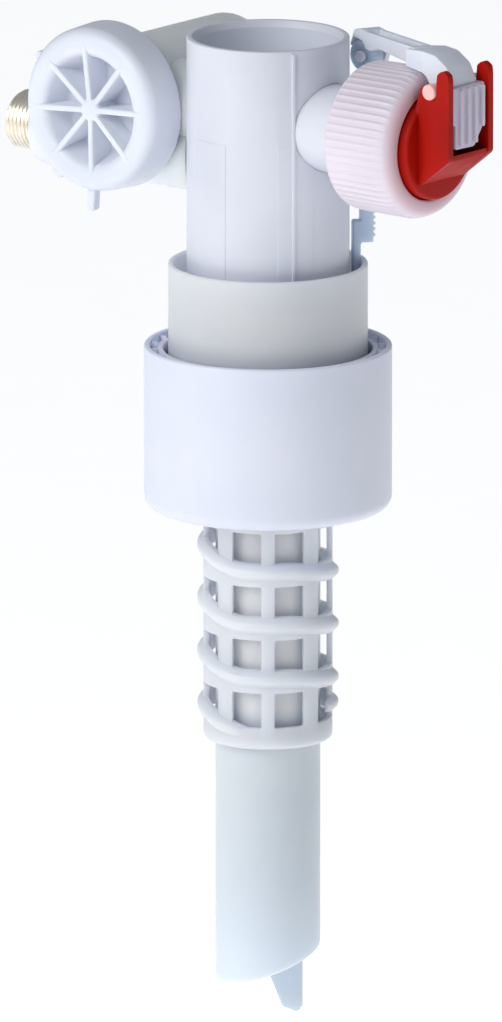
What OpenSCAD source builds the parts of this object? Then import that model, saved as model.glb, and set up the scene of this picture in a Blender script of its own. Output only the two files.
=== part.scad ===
// Side-inlet toilet fill valve with a pilot-operated diaphragm and a screw-adjusted float.
// Origin: inlet axis at the face of the inlet socket. +Z up, +X into the cistern.

/* [Column] */
// Outer radius of the guide column
col_r = 22; // [21:0.1:22.2]
// Wall of the guide column
col_wall = 2.5; // [2:0.1:3]
// Height of the guide column
col_h = 80; // [76:1:80]

/* [Inlet] */
// Distance from the socket's face to the column's axis
inlet_x = 75; // [74:1:78]
// Depth of the inlet axis below the column's rim
inlet_drop = 34.5; // [34:0.5:35]
// Major radius of the G3/8 inlet thread
thread_r = 8.33; // [8.3:0.01:8.33]
// Length of thread outside the socket
thread_l = 11; // [10:0.5:12]

/* [Valve head] */
// Depth of the strainer and diaphragm axes below the column's rim
head_drop = 22.5; // [22:0.5:23]
// Distance from the column's axis to the strainer axis
strainer_x = 43; // [42.5:0.5:44]
// Outer radius of the strainer housing
housing_r = 17; // [16.8:0.1:17.2]
// Outer radius of the spoked strainer cap
wheel_r = 23; // [22.5:0.1:23.2]
// Outer radius of the ring nut
nut_r = 20.5; // [20.3:0.1:20.6]
// Number of ribs round the ring nut
nut_ribs = 60; // [40:2:72]

/* [Lever] */
// Distance from the column's axis to the lever pin
pin_x = 63.5; // [63.5:0.1:63.6]
// Height of the lever pin above the head axis
pin_up = 17; // [16.8:0.1:17.2]
// Radius of the lever pin
pin_r = 2.15; // [2:0.05:2.2]
// Direction of the push rod round the column, in degrees from +X
rod_angle = 51; // [50:1:52]

/* [Float] */
// Outer radius of the float
float_r = 33.6; // [33:0.1:34]
// Height of the float
float_h = 45; // [44:0.5:46]
// Depth of the float's top below the column's rim
float_drop = 85; // [84:0.5:86]
// Outer radius of the carrier's collar
collar_r = 27; // [26.8:0.1:27.2]
// Depth of the collar's top below the column's rim
collar_drop = 62.4; // [62:0.1:63]

/* [Cage] */
// Outer radius of the windowed cage
cage_r = 17.5; // [17.4:0.1:17.6]
// Outer radius of the helical ridge
ridge_r = 19.2; // [19:0.1:19.2]
// Rise of the helical ridge in one turn
ridge_pitch = 14.75; // [14.75:0.25:15]
// Depth of the cage's foot below the column's rim
cage_drop = 194; // [194:0.5:195]

/* [Outlet] */
// Outer radius of the outlet tube
tube_r = 14.2; // [14:0.1:14.25]
// Wall of the outlet tube
tube_wall = 1.5; // [1.3:0.1:1.8]
// Depth of the tube's longest side below the column's rim
tube_drop = 261; // [258:1:264]
// Slope of the tube's cut end in degrees
cut_slope = 20; // [15:1:25]
// Depth of the blade's tip below the column's rim
blade_drop = 271; // [270:1:275]

/* [Hidden] */

$fn = 96;
eps = 0.05;           // gap of a fit
skin = 0.2;           // how far joined shapes reach into each other
gallery_r = 12;       // barrel that crosses the column
gallery_bore = 10;
core_end = 16.4;       // half length of the core's barrel
socket_r = 10;
neck_r = 7.7;         // plain neck of the nipple inside the socket
seat_r = 7;           // nozzle that the diaphragm closes
seat_bore = 5.5;
column_hole = 12.1;     // side holes of the column
core_r = col_r - col_wall - 0.1;
core_floor = 60;      // depth of the core's flange
chamber_x = 50;       // face of the diaphragm housing
nut_x = 35;           // back face of the ring nut
nut_face = 57;        // front face of the ring nut
nut_thread_r = 17.4;
plate_r = 9.5;         // stiff centre of the diaphragm
bleed_off = 8.2;       // distance of the bleed hole from the head axis
lip_r = 15;           // opening in the ring nut's face
housing_front = 12;   // front of the strainer housing, towards -Y
housing_back = 38;
housing_bore = 15;
wheel_front = 24;     // front of the spoked cap
spokes = 8;
web_drop = 90;        // floor of the carrier's collar
window_rows = 6;
window_turns = [20, 67, 113, 155];      // windows of a row, in degrees off the front
window_widths = [8.5, 9.8, 9.8, 8];
window_h = 9.7;
first_row = 183.1;    // depth of the lowest row of windows
cage_front = -51;     // front of the cage, in degrees from +X
ridge_parts = 9;      // steps of the ridge in one turn
ridge_steps = 54;
ridge_bottom = -184.5;
ridge_start = 19;     // direction in which the ridge starts at its foot
hub_bore = 19.7;
pad_drop = 16.5;      // depth of the pilot nozzle's axis
rod_r = 27.1;         // distance of the rod's axis from the column's axis
cut_angle = 61;       // side on which the tube is cut shortest
blade_angle = 39;     // plane of the blade
rod_x = rod_r * cos(rod_angle);
rod_y = rod_r * sin(rod_angle);
rod_pin_z = -6.5;
pad_r = 3;

module at_column() {
    translate([inlet_x, 0, inlet_drop]) children();
}

// A cylinder along +X that starts at x.
module x_rod(x, length, r) {
    translate([x, 0, 0]) rotate([0, 90, 0]) cylinder(r = r, h = length);
}

// A cylinder along +Y that starts at y.
module y_rod(y, length, r) {
    translate([0, y, 0]) rotate([-90, 0, 0]) cylinder(r = r, h = length);
}

module z_ring(r_out, r_in, h) {
    difference() {
        cylinder(r = r_out, h = h);
        translate([0, 0, -1]) cylinder(r = r_in, h = h + 2);
    }
}

module x_ring(x, length, r_out, r_in) {
    translate([x, 0, 0]) rotate([0, 90, 0]) z_ring(r_out, r_in, length);
}

module at_head() {
    translate([0, 0, -head_drop]) children();
}

module at_strainer() {
    translate([-strainer_x, 0, -head_drop]) children();
}

module at_inlet() {
    translate([0, 0, -inlet_drop]) children();
}

// The room that the column takes, for shapes that end against it.
module column_room() {
    translate([0, 0, -100]) cylinder(r = col_r + 0.6, h = 110);
}

module inlet_housing() {
    barrel_r = 11.5;
    color([0.80, 0.86, 0.92]) at_column() difference() {
        union() {
            difference() {
                union() {
                    at_strainer() y_rod(-housing_front, housing_front + housing_back, housing_r);
                    at_inlet() x_rod(-inlet_x, inlet_x - 26, socket_r);
                    at_inlet() x_rod(-inlet_x + 8, inlet_x - 28, barrel_r);
                }
                column_room();
            }
            at_head() x_rod(-strainer_x, strainer_x - core_end - 0.1, gallery_r);
        }
        at_strainer() y_rod(-housing_front - 1, housing_front + housing_back - 1, housing_bore);
        at_head() x_rod(-strainer_x, strainer_x, gallery_bore - 1);
        at_inlet() x_rod(-inlet_x - 1, 11, neck_r + eps);
        at_inlet() x_rod(-inlet_x - 1, 1.5, thread_r + 1);
        at_inlet() x_rod(-inlet_x, 30, 6.5);
    }
}

module valve_core() {
    color([0.76, 0.82, 0.88]) at_column() difference() {
        union() {
            intersection() {
                translate([0, 0, -core_floor]) cylinder(r = core_r, h = core_floor);
                at_head() x_rod(-core_end, 2 * core_end, gallery_r);
            }
            translate([0, 0, -core_floor]) cylinder(r = core_r, h = 3);
            translate([0, 0, -core_floor - 8]) cylinder(r = tube_r + 2, h = 38);
        }
        difference() {
            at_head() x_rod(-20, 40, gallery_bore);
            at_head() x_rod(-7, 40, seat_r);
            translate([0, 0, -head_drop - 30]) cylinder(r = seat_r, h = 30);
        }
        at_head() x_rod(-5, 40, seat_bore);
        translate([0, 0, -head_drop - 25]) cylinder(r = seat_bore, h = 25);
        translate([0, 0, -core_floor - 9]) cylinder(r = tube_r + eps, h = 24);
    }
}

module diaphragm_housing() {
    start = core_end + 0.1;
    color([0.78, 0.84, 0.90]) at_column() at_head() difference() {
        union() {
            x_rod(start, chamber_x - start, gallery_r);
            x_rod(24.5, chamber_x - 24.5, nut_thread_r);
        }
        difference() {
            union() {
                x_rod(10, 36, gallery_bore);
                x_rod(43, 10, 15);
            }
            x_rod(9, 40.2, seat_r);
            for (a = [90, 210, 330]) rotate([a, 0, 0])
                translate([start, 0, -0.8]) cube([24, gallery_bore + 1, 1.6]);
        }
        x_rod(9, 45, seat_bore);
    }
}

module guide_column() {
    rib_angle = -33;
    rib_top = 1;
    color([0.90, 0.91, 0.95]) at_column() difference() {
        union() {
            translate([0, 0, -col_h]) cylinder(r = col_r, h = col_h);
            rotate(rib_angle) translate([col_r - 1, -0.4, -col_h + rib_top])
                cube([1.6, 0.8, col_h - 2 * rib_top]);
        }
        translate([0, 0, -col_h - 1]) cylinder(r = col_r - col_wall, h = col_h + 2);
        at_head() x_rod(-40, 80, column_hole);
    }
}

module inlet_nipple() {
    tail = 7;
    color([0.86, 0.78, 0.58]) at_column() at_inlet() difference() {
        union() {
            x_rod(-inlet_x - thread_l, thread_l, thread_r);
            x_rod(-inlet_x - 1, tail + 1, neck_r);
        }
        x_rod(-inlet_x - thread_l - 1, thread_l + tail + 2, 5.5);
        x_rod(-inlet_x - thread_l - 1, 9, 6.6);
    }
}

module inlet_socket_ring() {
    color([0.95, 0.95, 0.96]) at_column() at_inlet()
        x_ring(-inlet_x, 5, socket_r + 1.2, socket_r + eps);
}

module inlet_seal() {
    color([0.10, 0.10, 0.11]) at_column() at_inlet()
        x_ring(-inlet_x + 7.1, 2.5, neck_r - 0.1, 6.6);
}

module flow_regulator() {
    color([0.20, 0.45, 0.70]) at_column() at_inlet() difference() {
        x_rod(-inlet_x - thread_l + 1.5, 6, 6.5);
        for (a = [0 : 60 : 300]) rotate([a, 0, 0]) translate([0, 3.7, 0])
            x_rod(-inlet_x - thread_l, 10, 0.9);
        x_rod(-inlet_x - thread_l, 10, 1.4);
    }
}

module strainer() {
    basket_r = 12.4;
    slots = 12;
    color([0.93, 0.94, 0.95]) at_column() at_strainer() difference() {
        y_rod(-1.4, 33, basket_r);
        y_rod(-2.4, 33, basket_r - 0.9);
        for (a = [0 : 360 / slots : 359], y = [2 : 9.5 : 24]) rotate([0, a, 0])
            translate([basket_r - 2, y, -1.7]) cube([4, 7.5, 3.4]);
    }
}

module strainer_cap_oring() {
    color([0.10, 0.10, 0.11]) at_column() at_strainer()
        rotate([90, 0, 0]) rotate_extrude() translate([13.75, 8]) circle(r = 1.15, $fn = 32);
}

// Side view of the spoked cap: [radius, distance towards the front].
module cap_profile() {
    back = housing_front + 0.3;
    floor_r = 13.5;
    floor_z = wheel_front - 4.5;
    polygon([[0, back], [wheel_r - 1.2, back], [wheel_r - 1.2, back + 1.7], [wheel_r, back + 1.7],
        [wheel_r, wheel_front - 2.6], [wheel_r - 1.1, wheel_front - 0.8], [wheel_r - 3, wheel_front],
        [floor_r + 4, wheel_front], [floor_r, floor_z], [0, floor_z]]);
}

module strainer_cap() {
    lugs = [62, 133, -119, -84];
    color([0.94, 0.94, 0.96]) at_column() at_strainer() rotate([90, 0, 0]) {
        rotate_extrude() cap_profile();
        difference() {
            translate([0, 0, 2]) cylinder(r = housing_bore - eps, h = housing_front - 1);
            translate([0, 0, 6.7]) z_ring(housing_bore + 1, 12.6, 2.6);
            cylinder(r = 12, h = 9);
        }
        translate([0, 0, 18]) cylinder(r = 2.6, h = wheel_front - 18.4);
        for (k = [0 : spokes - 1]) rotate(k * 360 / spokes)
            translate([1, -0.9, 18]) cube([wheel_r - 3.5, 1.8, 5.3]);
        for (a = lugs) rotate(a) translate([wheel_r - 1.5, -1.3, 15]) cube([4, 2.6, 6]);
    }
}

module diaphragm() {
    color([0.13, 0.13, 0.14]) at_column() at_head() difference() {
        x_rod(chamber_x + eps, 1.5, 17.1);
        x_rod(chamber_x - 1, 4, plate_r + 0.1);
    }
}

module diaphragm_plate() {
    color([0.85, 0.86, 0.88]) at_column() at_head() difference() {
        union() {
            x_rod(49.3, 3.5, plate_r);
            x_rod(49.3 - 3, 4, 4.8);
        }
        translate([0, 0, bleed_off]) x_rod(48, 6, 0.8);
    }
}

module bleed_pin() {
    color([0.75, 0.76, 0.78]) at_column() at_head() translate([0, 0, bleed_off])
        x_rod(48.4, 9, 0.55);
}

module ear_plate() {
    rotate([90, 0, 0]) translate([0, 0, -1]) linear_extrude(2) difference() {
        union() {
            polygon([[58, -9], [60, -9], [70, -0.7], [70, 21], [67.6, 23.4], [65.9, 21.5],
                [65.9, 18], [61.1, 18], [58, 10]]);
            translate([67.7, 21.2]) circle(r = 2.25, $fn = 40);
            translate([pin_x, pin_up]) circle(r = pin_r + 1.1, $fn = 48);
        }
        translate([pin_x - 1.9, pin_up]) square([3.8, 8]);
    }
}

module pilot_cover() {
    wall_y = 8.6;
    color([0.72, 0.14, 0.08]) at_column() at_head() difference() {
        union() {
            x_rod(chamber_x + 1.6, 3.2, 17.1);
            x_rod(chamber_x + 2, 7.6, lip_r - 0.4);
            for (side = [-1, 1]) translate([0, side * wall_y, 0]) ear_plate();
            intersection() {
                translate([58, -wall_y, -9]) cube([12, 2 * wall_y, 12]);
                translate([58.5, 0, -9.2]) rotate([0, -36, 0])
                    translate([-1, -wall_y, -0.6]) cube([18, 2 * wall_y, 1.2]);
            }
            translate([0, 0, head_drop - pad_drop]) x_rod(58, 3.4, 2.6);
            translate([61.2, 0, head_drop - pad_drop]) rotate([0, 90, 0])
                cylinder(r1 = 2.2, r2 = 1.3, h = 1.4);
        }
        x_rod(chamber_x, 6, 12);
        translate([0, 0, head_drop - pad_drop]) x_rod(54, 12, 0.6);
        translate([pin_x, 0, pin_up]) y_rod(-20, 40, pin_r + eps);
    }
}

module ring_nut() {
    rib = 0.5;
    pitch = 360 / nut_ribs;
    color([0.92, 0.90, 0.94]) at_column() at_head() difference() {
        union() {
            x_rod(nut_x + 1, nut_face - nut_x - 2, nut_r - rib);
            x_rod(nut_x, nut_face - nut_x, nut_r - 1.5);
            for (k = [0 : nut_ribs - 1]) rotate([k * pitch, 0, 0])
                translate([nut_x + 2, -0.35, nut_r - 1.2]) cube([17, 0.7, 1.2]);
        }
        x_rod(nut_x - 1, 20.9, nut_thread_r + eps);
        x_rod(nut_x, 40, lip_r);
    }
}

// Side view of the crank's knee: [x, height above the head axis].
module crank_profile() {
    difference() {
        union() {
            polygon([[50, 21.2], [50, 26], [57, 26.7], [61, 26], [65, 23.6], [67.8, 19.6],
                [67.8, 10], [66.4, 10], [66.4, 18.4], [63.5, 17], [60.6, 17.5], [58.5, 20.4]]);
            translate([pin_x, pin_up]) circle(r = 3.6, $fn = 48);
        }
        translate([pin_x, pin_up]) circle(r = pin_r + 0.02, $fn = 96);
    }
}

module lever_arm() {
    half_w = 5;
    beam_dx = 54 - rod_x;
    beam_len = sqrt(beam_dx * beam_dx + rod_y * rod_y);
    beam_turn = -atan2(rod_y, beam_dx);
    color([0.90, 0.91, 0.95]) at_column() union() {
        at_head() rotate([90, 0, 0]) translate([0, 0, -half_w])
            linear_extrude(2 * half_w) crank_profile();
        translate([rod_x, rod_y, 0]) rotate(beam_turn) difference() {
            rotate([90, 0, 0]) translate([0, 0, -3]) linear_extrude(6)
                polygon([[1.5, -2.5], [1.5, 0.2], [3, 0.8], [7, 1.2], [beam_len, 4.1],
                    [beam_len, -1], [16, -1.5], [10, -3.4], [7, -3.4], [5.5, -2.5]]);
            translate([6, -1.6, 0.2]) cube([beam_len - 8, 3.2, 9]);
        }
        translate([rod_x, rod_y, rod_pin_z]) difference() {
            union() {
                translate([0, 3.7, 0]) {
                    y_rod(-0.9, 1.8, 4);
                    translate([-1, -0.9, 0]) cube([6.5, 1.8, 5.6]);
                }
                translate([1, -3, 3.8]) cube([4.5, 7.6, 1.8]);
            }
            for (dx = [-1, 1]) translate([dx, 0, 0]) y_rod(-8, 16, 1.95);
            translate([-1, -8, -1.95]) cube([2, 16, 3.9]);
        }
    }
}

module lever_pin() {
    color([0.93, 0.80, 0.80]) at_column() at_head() translate([pin_x, 0, pin_up])
        y_rod(-10.4, 20.8, pin_r);
}

module pad_holder() {
    color([0.88, 0.90, 0.94]) at_column() difference() {
        union() {
            translate([66, -7, -14.4]) cube([3.2, 14, 10]);
            translate([66, -5.6, -21.6]) cube([3.2, 10.8, 8.2]);
            for (y = [-4.1, -0.9, 2.1]) translate([69, y, -20.6]) cube([1, 1.1, 15.6]);
            translate([69, 5, -13.4]) cube([1, 1.1, 8.4]);
        }
        translate([65.5, -5.1, -12.6]) cube([2.4, 10.2, 12]);
        translate([0, 0, -pad_drop + 0.8]) x_rod(65, 1.9, pad_r + eps);
    }
}

module pilot_pad() {
    color([0.12, 0.12, 0.13]) at_column() translate([0, 0, -pad_drop + 0.8]) x_rod(64.5, 2.35, pad_r);
}

module push_rod() {
    teeth = 9;
    color([0.68, 0.76, 0.86]) at_column() difference() {
        union() {
            rotate(rod_angle) {
                translate([rod_r - 1.7, -1.8, -58]) cube([3.4, 3.6, 52]);
                translate([23.3, -1.8, -86]) cube([2, 3.6, 34]);
                translate([24.9, -1.8, -57]) cube([1, 3.6, 5]);
                for (k = [0 : teeth - 1]) translate([rod_r + 1.5, -1.5, -57 + 1.6 * k])
                    rotate([0, 45, 0]) cube([0.8, 3, 0.8]);
            }
            translate([rod_x, rod_y, rod_pin_z]) y_rod(-2.4, 4.8, 3.2);
        }
        translate([rod_x, rod_y, rod_pin_z]) y_rod(-8, 16, 1.62);
    }
}

module rod_clevis_pin() {
    color([0.80, 0.86, 0.92]) at_column() translate([rod_x, rod_y, rod_pin_z]) y_rod(-3.3, 8.1, 1.6);
}

// One stretch of the left-handed ridge, nearly as long as one window and one post.
module ridge_step(k) {
    step_angle = 360 / ridge_parts;
    foot = 1.5;
    crest = 0.5;
    translate([0, 0, ridge_bottom + k * ridge_pitch / ridge_parts]) rotate(ridge_start - k * step_angle)
        rotate_extrude(angle = step_angle - 2) polygon([[cage_r - 0.6, -foot],
            [ridge_r, -crest], [ridge_r, crest], [cage_r - 0.6, foot]]);
}

module float_collar() {
    color([0.80, 0.86, 0.93]) at_column() union() {
        translate([0, 0, -web_drop]) z_ring(collar_r, collar_r - 1.5, web_drop - collar_drop);
        translate([0, 0, -web_drop]) z_ring(collar_r - skin, tube_r + 0.4, 2);
        rotate(rod_angle) for (side = [-1, 1])
            translate([23.4, side * 2.7 - 0.6, -web_drop + 1]) cube([2.4, 1.2, 22]);
    }
}

module float_cage() {
    cage_in = cage_r - 1.6;
    color([0.80, 0.86, 0.93]) at_column() union() {
        translate([0, 0, -cage_drop]) z_ring(cage_r - skin, tube_r + 0.4, 2.5);
        difference() {
            translate([0, 0, -cage_drop]) z_ring(cage_r, cage_in, cage_drop - web_drop);
            for (row = [0 : window_rows - 1], k = [0 : len(window_turns) - 1], side = [-1, 1])
                rotate(cage_front + side * window_turns[k])
                    translate([cage_in - 1.5, -window_widths[k] / 2,
                        -first_row + row * ridge_pitch - window_h / 2])
                        cube([4.2, window_widths[k], window_h]);
        }
        for (k = [0 : ridge_steps - 1]) ridge_step(k);
    }
}

module float_cup() {
    wall = 1.6;
    bottom = -float_drop - float_h;
    shelf = -104;
    color([0.95, 0.96, 0.98]) at_column() difference() {
        union() {
            rotate_extrude() difference() {
                union() {
                    translate([hub_bore, bottom]) square([float_r - 3 - hub_bore, float_h]);
                    translate([hub_bore, bottom + 3]) square([float_r - hub_bore, float_h - 3]);
                    translate([float_r - 3, bottom + 3]) circle(r = 3, $fn = 48);
                }
                translate([22.9, bottom + wall])
                    square([float_r - wall - 22.9, shelf - bottom - 2 * wall]);
                translate([29.8, bottom + wall]) square([float_r - wall - 29.8, float_h]);
                translate([hub_bore - 1, shelf]) square([28.3 - hub_bore + 1, 40]);
                translate([28.2, -float_drop - 1]) square([2, 3]);
                translate([hub_bore - 1, bottom + 4]) square([2.3, 3.8]);
            }
            rotate(39 + 90) translate([0, 0, -119.9]) rotate_extrude(angle = 24)
                translate([18.1, 0]) square([2, 2.4]);
        }
    }
}

module float_lid() {
    ribs = 24;
    color([0.93, 0.94, 0.97]) at_column() translate([0, 0, -float_drop - 3.5]) {
        z_ring(float_r - 1.7, 29.9, 1.4);
        for (k = [0 : ribs - 1]) rotate(k * 360 / ribs)
            translate([30.1, -0.4, 1.2]) cube([1.6, 0.8, 1.6]);
    }
}

module float_detent_ring() {
    color([0.80, 0.82, 0.86]) at_column() translate([0, 0, -float_drop - float_h + 4.1])
        z_ring(hub_bore + 1.22, hub_bore - 0.1, 3.6);
}

module outlet_tube() {
    color([0.78, 0.86, 0.93]) at_column() difference() {
        translate([0, 0, -tube_drop]) z_ring(tube_r, tube_r - tube_wall, tube_drop - 47);
        rotate(cut_angle) translate([-tube_r, -30, -tube_drop])
            rotate([0, -cut_slope, 0]) translate([-30, 0, -40]) cube([90, 60, 40]);
    }
}

module tube_oring() {
    color([0.10, 0.10, 0.11]) at_column() translate([0, 0, -46.1])
        rotate_extrude() translate([tube_r - 1.3, 0]) circle(r = 0.7, $fn = 24);
}

module outlet_blade() {
    span = tube_r - tube_wall - 0.1;
    color([0.82, 0.88, 0.93]) at_column() rotate(blade_angle - 90) translate([-0.6, 0, 0])
        rotate([90, 0, 90]) linear_extrude(1.2)
            polygon([[-span, -225], [span, -225], [span, -240], [9.4, -244],
                [9.4, -blade_drop + 2], [8.2, -blade_drop], [4, -blade_drop + 1.6],
                [-0.5, -258], [-0.5, -240], [-span, -232]]);
}

inlet_housing();
valve_core();
diaphragm_housing();
guide_column();
inlet_nipple();
inlet_socket_ring();
inlet_seal();
flow_regulator();
strainer();
strainer_cap_oring();
strainer_cap();
diaphragm();
diaphragm_plate();
bleed_pin();
pilot_cover();
ring_nut();
lever_arm();
lever_pin();
pad_holder();
pilot_pad();
push_rod();
rod_clevis_pin();
float_collar();
float_cage();
float_cup();
float_lid();
float_detent_ring();
outlet_tube();
tube_oring();
outlet_blade();
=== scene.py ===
"""Looks for a side-inlet toilet fill valve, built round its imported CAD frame.

Lengths are in metres, and in millimetres where a section's heading says so.
"""
import math

import bmesh
import bpy
from mathutils import Matrix, Vector


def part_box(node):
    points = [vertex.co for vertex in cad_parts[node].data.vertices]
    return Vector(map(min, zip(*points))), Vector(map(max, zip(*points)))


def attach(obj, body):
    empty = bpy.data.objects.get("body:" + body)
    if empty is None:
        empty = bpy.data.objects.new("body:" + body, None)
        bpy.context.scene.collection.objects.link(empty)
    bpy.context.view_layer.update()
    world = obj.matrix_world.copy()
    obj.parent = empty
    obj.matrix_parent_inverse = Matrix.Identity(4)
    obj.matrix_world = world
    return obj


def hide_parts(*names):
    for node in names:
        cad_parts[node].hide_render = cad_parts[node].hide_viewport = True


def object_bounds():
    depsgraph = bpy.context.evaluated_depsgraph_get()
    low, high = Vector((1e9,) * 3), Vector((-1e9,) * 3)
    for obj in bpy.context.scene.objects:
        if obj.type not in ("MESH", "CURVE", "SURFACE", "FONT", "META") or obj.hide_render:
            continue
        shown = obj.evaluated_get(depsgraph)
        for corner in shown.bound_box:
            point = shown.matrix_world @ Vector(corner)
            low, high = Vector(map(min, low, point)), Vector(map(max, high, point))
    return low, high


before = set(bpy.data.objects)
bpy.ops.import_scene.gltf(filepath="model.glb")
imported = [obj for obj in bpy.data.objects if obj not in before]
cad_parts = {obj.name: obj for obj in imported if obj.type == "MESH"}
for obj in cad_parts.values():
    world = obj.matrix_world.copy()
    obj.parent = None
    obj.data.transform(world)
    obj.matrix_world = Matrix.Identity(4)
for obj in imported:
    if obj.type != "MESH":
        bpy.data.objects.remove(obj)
CAD_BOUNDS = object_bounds()

MM = 0.001
TAU = 2 * math.pi


# ---------------------------------------------------------------- places, all from the frame

column_low, column_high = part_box("guide_column")

AXIS_X = (column_low[0] + column_high[0]) / 2
RIM_Z = column_high[2]
ORIGIN = Vector((AXIS_X, 0, RIM_Z))


# ---------------------------------------------------------------- mesh helpers, in millimetres

def link(name, data):
    """A new object in the scene for a mesh, camera or light."""
    obj = bpy.data.objects.new(name, data)
    bpy.context.scene.collection.objects.link(obj)
    return obj


def mesh_object(name, verts, faces):
    mesh = bpy.data.meshes.new(name)
    mesh.from_pydata([tuple(c * MM for c in v) for v in verts], [], faces)
    mesh.update()
    return link(name, mesh)


def rounded(points, radii, steps=5):
    """A closed outline whose corners are arcs of the given radii, 0 for a sharp one."""
    out = []
    n = len(points)
    for i, p in enumerate(points):
        r = radii[i] if isinstance(radii, (list, tuple)) else radii
        p = Vector(p)
        a = (Vector(points[i - 1]) - p)
        b = (Vector(points[(i + 1) % n]) - p)
        if r <= 0 or a.length < 1e-6 or b.length < 1e-6:
            out.append(p)
            continue
        la, lb = a.length, b.length
        a.normalize()
        b.normalize()
        half = math.acos(max(-1, min(1, a.dot(b)))) / 2
        if half > math.pi / 2 - 0.02:
            out.append(p)
            continue
        back = min(r / math.tan(half), 0.48 * la, 0.48 * lb)
        r = back * math.tan(half)
        centre = p + (a + b).normalized() * (r / math.sin(half))
        start = p + a * back - centre
        end = p + b * back - centre
        sweep = math.atan2(start.x * end.y - start.y * end.x, start.dot(end))
        for k in range(steps + 1):
            t = sweep * k / steps
            c, s = math.cos(t), math.sin(t)
            out.append(centre + Vector((start.x * c - start.y * s, start.x * s + start.y * c)))
    return out


def join_rings(count, n, first=0, closed=False):
    """Quads between rings of n points each, and from the last ring to the first where closed."""
    faces = []
    for k in range(count if closed else count - 1):
        a, b = first + k * n, first + (k + 1) % count * n
        for i in range(n):
            j = (i + 1) % n
            faces.append((a + i, b + i, b + j, a + j))
    return faces


def lathe(name, outline, segments=128):
    """Turns a closed outline of (radius, height) about +Z."""
    verts = []
    for k in range(segments):
        t = TAU * k / segments
        c, s = math.cos(t), math.sin(t)
        verts += [(r * c, r * s, z) for r, z in outline]
    return mesh_object(name, verts, join_rings(segments, len(outline), closed=True))


def merge_close(obj, distance=0.002):
    """Welds points closer than the distance, drops empty faces and turns the normals outwards."""
    bm = bmesh.new()
    bm.from_mesh(obj.data)
    bmesh.ops.remove_doubles(bm, verts=bm.verts, dist=distance * MM)
    bmesh.ops.dissolve_degenerate(bm, dist=distance * MM, edges=bm.edges)
    bmesh.ops.recalc_face_normals(bm, faces=bm.faces)
    bm.to_mesh(obj.data)
    bm.free()
    return obj


def arc_band(middle, half, first_r, second_r, steps):
    """A closed outline between two radii, up to half degrees either side of a middle angle."""
    arc = [math.radians(middle - half + 2 * half * k / steps) for k in range(steps + 1)]
    return ([(first_r * math.cos(a), first_r * math.sin(a)) for a in arc]
            + [(second_r * math.cos(a), second_r * math.sin(a)) for a in reversed(arc)])


def prism(name, outline, low, high):
    """Extrudes a closed (x, y) outline from z = low to z = high."""
    n = len(outline)
    verts = [(x, y, low) for x, y in outline] + [(x, y, high) for x, y in outline]
    faces = [tuple(range(n - 1, -1, -1)), tuple(range(n, 2 * n))]
    faces += [(i, (i + 1) % n, n + (i + 1) % n, n + i) for i in range(n)]
    return merge_close(mesh_object(name, verts, faces))


def box_piece(name, low, high):
    (x0, y0, z0), (x1, y1, z1) = low, high
    return prism(name, [(x0, y0), (x1, y0), (x1, y1), (x0, y1)], z0, z1)


def place(obj, *moves):
    """Applies 4x4 matrices to a mesh, the first given first."""
    for m in moves:
        obj.data.transform(m)
    return obj


def shift(x, y, z):
    return Matrix.Translation((x * MM, y * MM, z * MM))


def turn(degrees, axis):
    return Matrix.Rotation(math.radians(degrees), 4, axis)


def join(name, parts):
    """Puts the meshes of several objects into one, and removes the objects."""
    bm = bmesh.new()
    for part in parts:
        bm.from_mesh(part.data)
        bpy.data.objects.remove(part)
    mesh = bpy.data.meshes.new(name)
    bm.to_mesh(mesh)
    bm.free()
    return link(name, mesh)


def apply_modifiers(obj):
    graph = bpy.context.evaluated_depsgraph_get()
    mesh = bpy.data.meshes.new_from_object(obj.evaluated_get(graph))
    obj.modifiers.clear()
    old = obj.data
    obj.data = mesh
    bpy.data.meshes.remove(old)
    return obj


def combine(obj, others, operation):
    """One exact boolean with all the others joined, which may overlap each other."""
    tool = join("tool", others) if len(others) > 1 else others[0]
    mod = obj.modifiers.new("bool", "BOOLEAN")
    mod.operation = operation
    mod.solver = "EXACT"
    mod.object = tool
    mod.use_self = len(others) > 1
    apply_modifiers(obj)
    bpy.data.objects.remove(tool)
    return obj


def fuse(obj, *others):
    return combine(obj, others, "UNION")


def cut(obj, *others):
    return combine(obj, others, "DIFFERENCE")


def soften(obj, width=0.25, segments=2, angle=35):
    """Rounds every edge sharper than the angle."""
    merge_close(obj, 0.004)
    mod = obj.modifiers.new("bevel", "BEVEL")
    mod.width = width * MM
    mod.segments = segments
    mod.limit_method = "ANGLE"
    mod.angle_limit = math.radians(angle)
    mod.use_clamp_overlap = True
    mod.miter_outer = "MITER_ARC"
    return apply_modifiers(obj)


def smooth(obj, angle=35):
    for p in obj.data.polygons:
        p.use_smooth = True
    obj.data.set_sharp_from_angle(angle=math.radians(angle))


def settle(obj, node, body, material, angle=35):
    """Cleans a finished piece and puts it in the frame in place of its CAD node."""
    merge_close(obj)
    obj.data.transform(Matrix.Translation(ORIGIN))
    smooth(obj, angle)
    obj.data.materials.clear()
    obj.data.materials.append(material)
    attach(obj, body)
    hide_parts(node)


# ---------------------------------------------------------------- materials

def linear(rgb):
    """sRGB numbers of 0 to 255 as a linear colour."""
    out = []
    for c in rgb:
        c = c / 255
        out.append(c / 12.92 if c <= 0.04045 else ((c + 0.055) / 1.055) ** 2.4)
    return (*out, 1.0)


def shader_of(mat):
    return mat.node_tree.nodes["Principled BSDF"]


def new_material(name):
    mat = bpy.data.materials.new(name)
    mat.use_nodes = True
    return mat, mat.node_tree, shader_of(mat)


def noise(tree, scale, detail=3.0, rough=0.5, coords=None):
    node = tree.nodes.new("ShaderNodeTexNoise")
    node.inputs["Scale"].default_value = scale
    node.inputs["Detail"].default_value = detail
    node.inputs["Roughness"].default_value = rough
    if coords is not None:
        tree.links.new(coords, node.inputs["Vector"])
    return node


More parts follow.
